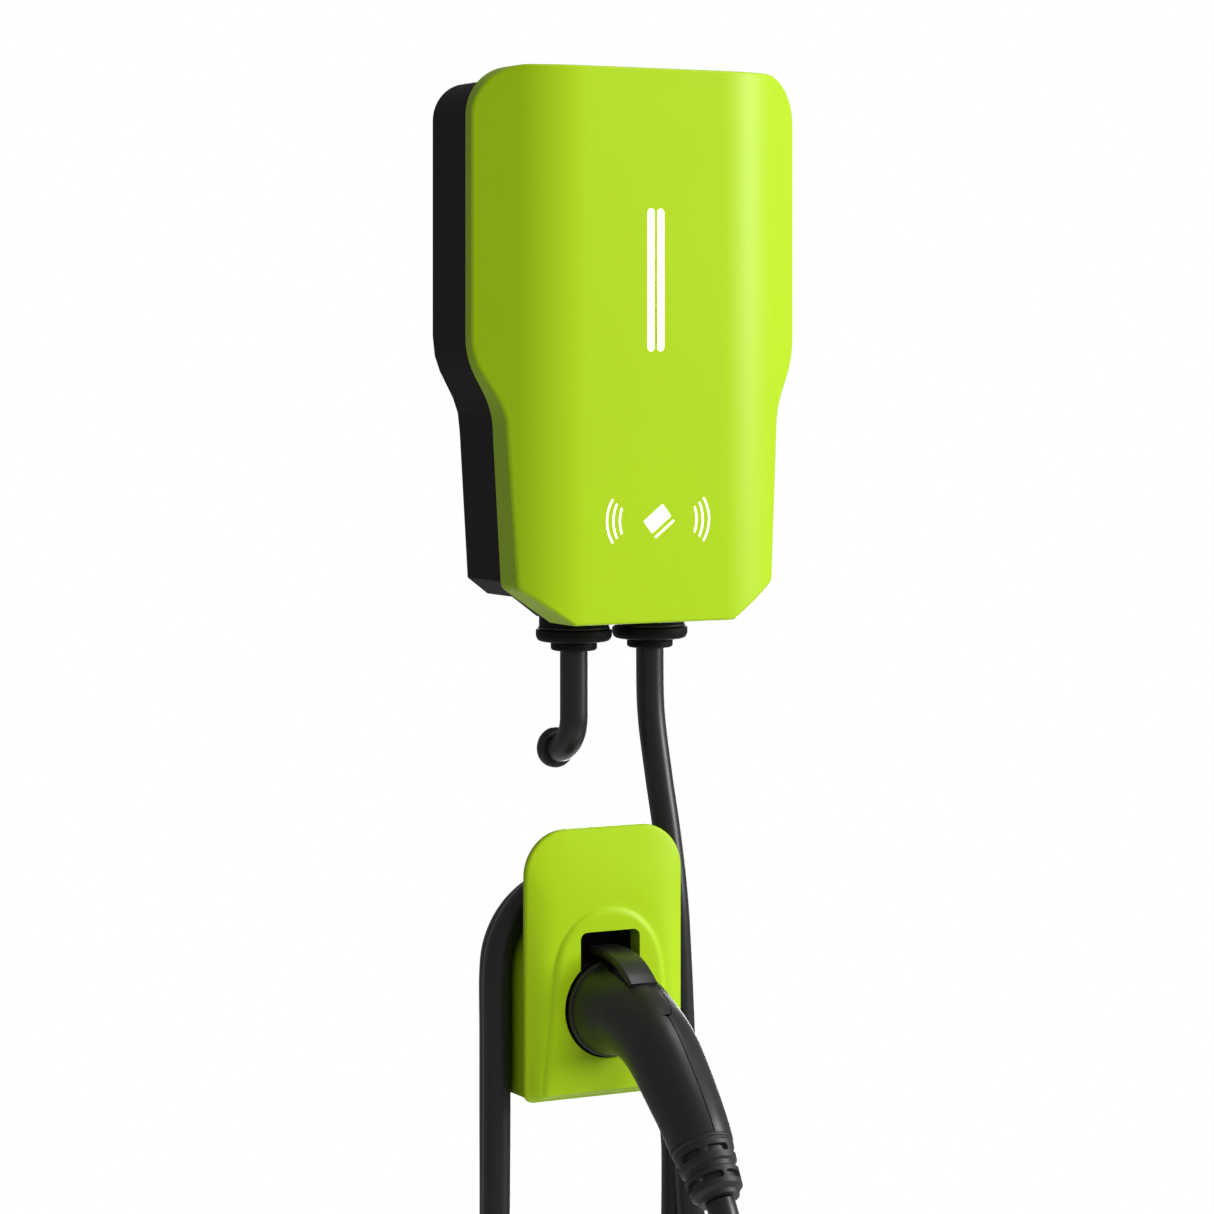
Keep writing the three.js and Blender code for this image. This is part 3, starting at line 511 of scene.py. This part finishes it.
def printed_symbol():
    """Contactless mark: three growing arcs on each side of a plain card."""
    work = bmesh.new()
    back, front, centre, height = 84.6, 85.12, 1.5, -108.0
    stroke = 0.62
    for side in (-1, 1):
        for offset, half in ((27.0, 8.0), (31.5, 10.6), (36.0, 13.4)):
            bulge = 24.0
            spread = math.degrees(math.asin(half / bulge))
            middle = 0 if side > 0 else 180
            x = centre + side * (offset - bulge)
            outer = arc(x, height, bulge + stroke, middle - spread, middle + spread, 16)
            inner = arc(x, height, bulge - stroke, middle + spread, middle - spread, 16)
            prism(outer + inner, back, front, into=work)
    tilt = Matrix.Rotation(math.radians(38), 2)
    for down, width, tall in ((-1.2, 17.0, 9.6), (7.0, 17.0, 1.3)):
        card = [tilt @ Vector(p) for p in rounded_rect(0, -down, width, tall, 0.6, 3)]
        prism([(centre + p.x, height + p.y) for p in card], back, front, into=work)
    return new_object("contactless_mark", work, PAINTED_GLOW_PRINT, 40)


mark = printed_symbol()
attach(mark, "wall_unit")


# ---------- glands ----------
GLAND_BORE = 9.2


def gland(prefix, x):
    """Washer, flanged body and collar nut round one cable entry."""
    place = (x, -GLAND_REACH, 0)
    body = new_object(prefix + "_gland_flange", turned(rounded([
        (GLAND_BORE, 179), (GLAND_BORE, 178.1), (20, 178.1), (24, 178.1), (24, 182.6), (22.6, 185.2),
        (19.5, 186), (GLAND_BORE, 186),
    ], 1.2), place), BLACK)
    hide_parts(prefix + "_gland_body")
    seal = new_object(prefix + "_gland_washer", turned(rounded([
        (12.5, 177.2), (12.5, 176.3), (22.5, 176.3), (22.5, 177.8), (12.5, 177.8),
    ], 0.4), place), RUBBER)
    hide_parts(prefix + "_gland_seal")
    nut = new_object(prefix + "_gland_collar", turned(rounded([
        (GLAND_BORE, 187), (GLAND_BORE, 186.3), (14.6, 186.3), (14.6, 190.4), (13.2, 191.5), (9.6, 191.5),
        (8.85, 189.6),
    ], 0.7), place), BLACK)
    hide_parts(prefix + "_gland_nut")
    for piece, slot in ((body, "black_housing"), (seal, "black_rubber"), (nut, "black_housing")):
        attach(piece, "wall_unit")


gland("supply", -GLAND_X)
gland("cable", GLAND_X)

ELBOW_Z, ELBOW_RADIUS = -233.0, 22.0
elbow = [(-GLAND_X, -(GLAND_REACH - ELBOW_RADIUS * (1 - math.cos(a))), ELBOW_Z - ELBOW_RADIUS * math.sin(a))
         for a in [math.pi / 2 * i / 16 for i in range(17)]]
conduit_line = [Vector(p) for p in [(-GLAND_X, -GLAND_REACH, -172 - 7 * i) for i in range(9)] + elbow
                + [(-GLAND_X, -2.5, ELBOW_Z - ELBOW_RADIUS), (-GLAND_X, 0, ELBOW_Z - ELBOW_RADIUS)]]
conduit = new_object("supply_elbow", loft(tube(conduit_line, CABLE_RADIUS, 32)), CABLE, 60)
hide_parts("supply_conduit")
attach(conduit, "wall_unit")
grommet = new_object("elbow_grommet", turned(rounded([
    (CABLE_RADIUS, 0), (12.8, 0), (12.8, 3.5), (11.4, 5.5), (CABLE_RADIUS, 5.5),
], 0.8), (-GLAND_X, 0, ELBOW_Z - ELBOW_RADIUS), (0, -1, 0), 64), RUBBER)
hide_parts("wall_grommet")
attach(grommet, "wall_unit")


# ---------- holster ----------
SOCKET_RADIUS = 31.6


def plate_outline(inset):
    """Tall plate with large top corners and small bottom corners."""
    left, right = HOLSTER_X - 54.8 + inset, HOLSTER_X + 54.8 - inset
    sole, top = -466 + inset, -299 - inset
    low, high = max(1.5, 6 - inset), 28 - inset
    return (arc(right - low, sole + low, low, -90, 0, 10)
            + arc(right - high, top - high, high, 0, 90, 20)
            + arc(left + high, top - high, high, 90, 180, 20)
            + arc(left + low, sole + low, low, 180, 270, 10))


def panel_outline(grow):
    """Inverted U that flares towards its foot."""
    foot, waist, arch = 45 + grow, 37.5 + grow, 41.5 + grow
    sole = -461.5 - grow * 0.35
    right = [(foot - 2, sole), (foot, sole + 2.5)]
    right += bezier((waist, HOOK_Z), (waist - 1.5, HOOK_Z + arch * 0.62), (waist * 0.55, HOOK_Z + arch),
                    (0, HOOK_Z + arch), 24)[:-1]
    outline = [(HOLSTER_X + x, z) for x, z in right]
    outline.append((HOLSTER_X, HOOK_Z + arch))
    return outline + [(HOLSTER_X - x, z) for x, z in reversed(right)]


def by_angle(outline, count):
    """Points of the outline at even angles as seen from low in the holster."""
    centre = Vector((HOLSTER_X, -405))
    corners = [Vector(p) for p in outline]
    result = []
    for i in range(count):
        angle = 2 * math.pi * (i + 0.37) / count
        ray = Vector((math.cos(angle), math.sin(angle)))
        best = 0.0
        for p, q in zip(corners, corners[1:] + corners[:1]):
            edge = q - p
            cross = ray.x * edge.y - ray.y * edge.x
            if abs(cross) < 1e-9:
                continue
            offset = p - centre
            along = (offset.x * edge.y - offset.y * edge.x) / cross
            share = (offset.x * ray.y - offset.y * ray.x) / cross
            if along > best and -1e-6 <= share <= 1 + 1e-6:
                best = along
        result.append(tuple(centre + ray * best))
    return result


def cut_socket(piece):
    """The round hole that takes the connector."""
    profile = [(SOCKET_RADIUS, 20), (SOCKET_RADIUS, 90)]
    cutter = new_object("cut", turned(profile, (HOLSTER_X, 0, SOCKET_Z), (0, -1, 0), 96), LIME)
    apply_boolean(piece, cutter)


def cut_window(piece, outline, rear):
    """The square hole above the socket, from a reach of rear forwards."""
    apply_boolean(piece, new_object("cut", prism(outline, rear, 90), LIME))


def holster_front():
    """Plate, sloping surround and raised panel in one moulding, with socket and window cut."""
    count = 360
    levels = [(plate_outline(4), 56.0), (plate_outline(0.8), 56.0), (plate_outline(0), 56.8),
              (plate_outline(0), 58.6), (plate_outline(0.3), 59.4), (plate_outline(0.9), 60.0),
              (plate_outline(1.8), 60.5)]
    rings = [[(x, -reach, z) for x, z in by_angle(outline, count)] for outline, reach in levels]
    start = by_angle(plate_outline(1.8), count)
    end = by_angle(panel_outline(1.6), count)
    slope_steps = 8
    for k in range(1, slope_steps + 1):
        t = k / slope_steps
        rise = 60.5 + 5.2 * math.sin(math.pi / 2 * t)
        rings.append([(a[0] + (b[0] - a[0]) * t, -rise, a[1] + (b[1] - a[1]) * t)
                      for a, b in zip(start, end)])
    for grow, reach in ((1.0, 66.2), (0.0, 67.0), (-1.2, 67.6), (-2.6, 67.92), (-4.2, 68.0)):
        rings.append([(x, -reach, z) for x, z in by_angle(panel_outline(grow), count)])
    front = new_object("holster_front", loft(rings), LIME, 50)
    cut_socket(front)
    cut_window(front, rounded_rect(HOLSTER_X, -386, 41.4, 47.2, 4.5), 20)
    front.data.shade_smooth()
    front.data.set_sharp_from_angle(angle=math.radians(40))
    return front


def holster_hook():
    """The round hook behind the plate; it narrows towards the wall. Socket and window are cut in."""
    rings = []
    outline = [(HOOK_RADIUS, -74)] + arc(0, 0, HOOK_RADIUS, 0, 180, 48) + [(-HOOK_RADIUS, -74)]
    for reach, inset in ((7.4, 1.2), (6.5, 0.2), (7.2, 0), (14, 0), (22, 0), (30, 0), (43, 0), (56.5, 0)):
        scale = between(HOOK_RADIUS_REAR, HOOK_RADIUS, (reach - HOOK_REAR) / (HOOK_FULL - HOOK_REAR))
        scale = (scale - inset) / HOOK_RADIUS
        rings.append([(HOLSTER_X + x * scale, -reach, HOOK_Z + z * scale) for x, z in outline])
    hook = new_object("holster_hook", loft(rings[::-1]), LIME, 40)
    cut_socket(hook)
    cut_window(hook, rounded_rect(HOLSTER_X, -387, 44.6, 49.2, 5), 32)
    hook.data.shade_smooth()
    hook.data.set_sharp_from_angle(angle=math.radians(40))
    return hook


holster = holster_front()
even_shading(holster)
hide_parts("holster_shell")
hook = holster_hook()
for piece in (holster, hook):
    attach(piece, "wall_unit")

# Painted shade: a black box behind the window darkens the hole where shade falls inside. Its foot reaches
# down into the socket, through the connector's nose.
window_shade_rings = [[(x, -reach, z) for x, z in rounded_rect(HOLSTER_X, -387, 42.4, 47, 4)]
               for reach in (57, 34)]
window_shade_box = new_object("holster_window_painted_shade", loft(window_shade_rings, cap_start=False), BLACK, 40)
window_shade_wall = window_shade_box.modifiers.new("wall", "SOLIDIFY")
window_shade_wall.thickness = 1 * MM
window_shade_wall.offset = 1
bake_modifiers(window_shade_box)
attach(window_shade_box, "wall_unit")


# ---------- connector ----------
HANDLE_POINTS = [(73.3, SOCKET_Z), (82, SOCKET_Z), (100, -411), (130, -423), (160, -448.5), (177, -466),
                 (182.7, -473.35)]
HANDLE_RADII = (29, 27.4, 25.4, 24, 23.2, 22.8, 22.4, 21.9, 21.3, 20.6, 19.9, 19.2)


def handle_line(count):
    """The middle line of the handle."""
    return resample(knot_line([(HOLSTER_X, -reach, z) for reach, z in HANDLE_POINTS], 12), count)


def radius_at(u):
    """The handle's radius at a share u of its length."""
    place = u * (len(HANDLE_RADII) - 1)
    k = min(len(HANDLE_RADII) - 2, int(place))
    return HANDLE_RADII[k] + (HANDLE_RADII[k + 1] - HANDLE_RADII[k]) * (place - k)


def handle_rings(shrink=0.0, groove=0.55):
    """Rings of the handle, with the fine joint between its two halves above and below."""
    line = handle_line(72)
    directions = tangents(line)
    directions[0] = Vector((0, -1, 0))
    joints = (math.pi / 2, 3 * math.pi / 2)
    near_joint = (-0.022, -0.011, 0.0, 0.011, 0.022)
    angles = sorted([2 * math.pi * (i + 0.5) / 72 for i in range(72)]
                    + [joint + step for joint in joints for step in near_joint])
    side = Vector((1, 0, 0))
    rings = []
    for i, (point, direction) in enumerate(zip(line, directions)):
        lift = direction.cross(side) * -1
        radius = radius_at(i / (len(line) - 1)) - shrink
        ring = []
        for angle in angles:
            close = min(abs(angle - joint) for joint in joints)
            r = radius - (groove if close < 0.012 else 0.0)
            ring.append(point + side * (r * math.cos(angle)) + lift * (r * math.sin(angle)))
        rings.append(ring)
    return rings


def tongue_outline(grow, start=107.0):
    """The thumb tongue seen from above, in X and reach, with a round end."""
    half, tip = LATCH_HALF + grow, 141.0 + grow
    right = bezier((half, start - grow), (half, 121), (half * 0.86, tip - 3), (0, tip), 20)
    left = [(-x, reach) for x, reach in reversed(right[:-1])]
    return [(HOLSTER_X + x, reach) for x, reach in right + left]


def upright_prism(outline, low, high):
    """A prism standing on Z over an outline in X and reach."""
    return loft([[(x, -reach, z) for x, reach in outline] for z in (low, high)])


def connector_handle():
    """Both handle halves with the recess for the latch."""
    handle = new_object("connector_handle", loft(handle_rings()), CONNECTOR, 30)
    recess = new_object("cut", upright_prism(tongue_outline(0.75, 84), -408, -360), CONNECTOR)
    apply_boolean(handle, recess)
    handle.data.shade_smooth()
    handle.data.set_sharp_from_angle(angle=math.radians(32))
    return handle


def latch():
    """Strap from the holster's window over the collar, a step, then the flush thumb tongue."""
    tongue = new_object("latch", loft(handle_rings(0.25, 0.0)), CONNECTOR, 30)
    outline = new_object("cut", upright_prism(tongue_outline(0.0, 104), -402.5, -360), CONNECTOR)
    apply_boolean(tongue, outline, "INTERSECT")
    strap = bmesh.new()
    top = knot_line([(HOLSTER_X, -58, -372.4), (HOLSTER_X, -76, -372.8), (HOLSTER_X, -92, -376.2),
                     (HOLSTER_X, -104, -382.4), (HOLSTER_X, -111.5, -388.0)], 6)
    rings = []
    for point, direction in zip(top, tangents(top)):
        lift = Vector((1, 0, 0)).cross(direction) * (-1)
        lift = lift if lift.z > 0 else -lift
        section = rounded_rect(0, -2.6, 2 * LATCH_HALF, 5.2, 1.2, 4)
        rings.append([point + Vector((x, 0, 0)) + lift * z for x, z in section])
    loft(rings, into=strap)
    strap_piece = new_object("strap", strap, CONNECTOR, 40)
    apply_boolean(tongue, strap_piece, "UNION")
    tongue.data.shade_smooth()
    tongue.data.set_sharp_from_angle(angle=math.radians(35))
    tongue.name = "latch_strap"
    return tongue


handle = connector_handle()
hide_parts("connector_shell_left", "connector_shell_right")
collar = new_object("connector_collar", turned(rounded([
    (12, 68.8), (12, 68.6), (29.4, 68.6), (30.3, 69.4), (30.3, 72.2), (29.6, 73.0), (12, 73.0),
], 0.6), (HOLSTER_X, 0, SOCKET_Z), (0, -1, 0), 96), CONNECTOR)
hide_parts("connector_ring")
latch_strap = latch()
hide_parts("latch_lever")


def strain_relief():
    """Banded rubber sleeve with rounded slots, which in the real part let it bend; this mesh stays rigid."""
    start = Vector((HOLSTER_X, -182.9, -473.6))
    end = Vector((HOLSTER_X, -204.4, -501.3))
    direction = (end - start).normalized()
    side = Vector((1, 0, 0))
    lift = direction.cross(side) * -1
    length = (end - start).length
    profile = [(19.0, 0), (19.0, 1.5), (18.2, 2.2), (18.2, 3), (18.4, 4), (17.2, 14.5),
               (15.6, 15.6), (15.2, 18.6), (16.6, 19.6), (15.8, 30.0), (13.0, 32.6), (12.2, length)]
    slot_rows = ((8.6, 0.0), (24.6, math.pi / 6))
    slot_pitch = math.pi / 3
    slot_half, slot_end_radius, slot_edge, slot_depth = 5.2, 2.2, 0.4, 2.8
    rows, columns = 180, 216
    rings = []
    for i in range(rows + 1):
        along = length * i / rows
        k = max(j for j in range(len(profile)) if profile[j][1] <= along + 1e-9)
        k = min(k, len(profile) - 2)
        (r0, a0), (r1, a1) = profile[k], profile[k + 1]
        base = r0 + (r1 - r0) * (along - a0) / (a1 - a0)
        ring = []
        for j in range(columns):
            angle = 2 * math.pi * j / columns
            depth = 0.0
            for middle, phase in slot_rows:
                sector = (angle + phase) % slot_pitch - slot_pitch / 2
                across = max(0.0, abs(sector) * base - slot_half)
                distance = math.hypot(across, along - middle)
                edge = min(1.0, max(0.0, (slot_end_radius - distance) / slot_edge))
                depth = max(depth, slot_depth * edge * edge * (3 - 2 * edge))
            radius = base - depth
            ring.append(start + direction * along + side * (radius * math.cos(angle))
                        + lift * (radius * math.sin(angle)))
        rings.append(ring)
    return new_object("cable_sleeve", loft(rings), RUBBER, 50)


sleeve = strain_relief()
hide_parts("strain_relief")
for piece, body, slot in ((handle, "connector", "black_connector"), (collar, "connector", "black_connector"),
                          (sleeve, "connector", "black_rubber"), (latch_strap, "latch", "black_connector")):
    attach(piece, body)


# ---------- CAD pieces that stay ----------
FINISHES = {
    "black_housing": BLACK, "black_connector": CONNECTOR, "cable_jacket": CABLE, "black_rubber": RUBBER,
    "zinc_steel": STEEL, "contact_brass": BRASS, "circuit_board": BOARD, "grey_plastic": GREY,
    "lime_cover": LIME, "light_guide": LIGHT,
}
for row in frame["record"]["subparts"]:
    node = NODES[row["node"]]
    node.data.materials.clear()
    node.data.materials.append(FINISHES[row["material_slot"]])
for name in ("rear_housing", "socket_sleeve"):
    soften(NODES[name], 0.8)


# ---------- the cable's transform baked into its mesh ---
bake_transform(cable)


# ---------- floor and light ----------
def add_floor():
    """A pale floor below the hanging loops."""
    work = bmesh.new()
    half, under, top = 1100, -1085, -1065
    prism([(-half, under), (half, under), (half, top), (-half, top)], -half, half, into=work)
    paint = plastic("floor_paint", (0.82, 0.82, 0.82), 0.7, shade=0.01)
    new_object("floor", work, paint)


def add_light(name, place, target, size, power):
    """A soft box that faces its target."""
    data = bpy.data.lights.new(name, "AREA")
    data.shape = "RECTANGLE"
    data.size, data.size_y = size
    data.energy = power
    light = bpy.data.objects.new(name, data)
    light.location = place
    light.rotation_euler = (Vector(target) - Vector(place)).to_track_quat("-Z", "Y").to_euler()
    bpy.context.scene.collection.objects.link(light)
    return light


def add_world():
    """White surroundings for the camera, dimmer in reflections and dim as light."""
    world = bpy.data.worlds.new("studio")
    world.use_nodes = True
    nodes, links = world.node_tree.nodes, world.node_tree.links
    background = nodes["Background"]
    background.inputs["Color"].default_value = (1, 1, 1, 1)
    path = nodes.new("ShaderNodeLightPath")
    reflected = nodes.new("ShaderNodeMapRange")
    reflected.inputs["To Min"].default_value = 0.16
    reflected.inputs["To Max"].default_value = 0.26
    links.new(path.outputs["Is Glossy Ray"], reflected.inputs["Value"])
    level = nodes.new("ShaderNodeMapRange")
    level.inputs["To Max"].default_value = 1.0
    links.new(reflected.outputs["Result"], level.inputs["To Min"])
    links.new(path.outputs["Is Camera Ray"], level.inputs["Value"])
    links.new(level.outputs["Result"], background.inputs["Strength"])
    bpy.context.scene.world = world
    bpy.context.scene.view_settings.view_transform = "Standard"


add_floor()
add_world()
add_light("key", (2.5, -1.65, 0.75), (0, 0, -0.2), (0.8, 1.8), 84)
fill = add_light("fill", (0.1, -3.4, 0.7), (0, 0, -0.2), (1.6, 1.6), 49)
fill.visible_glossy = False
add_light("rim", (1.0, -0.4, 2.2), (0, 0, -0.3), (0.8, 0.8), 14)
add_light("edge", (1.0, 1.5, -0.4), (0, -0.1, -0.5), (0.7, 1.6), 26)
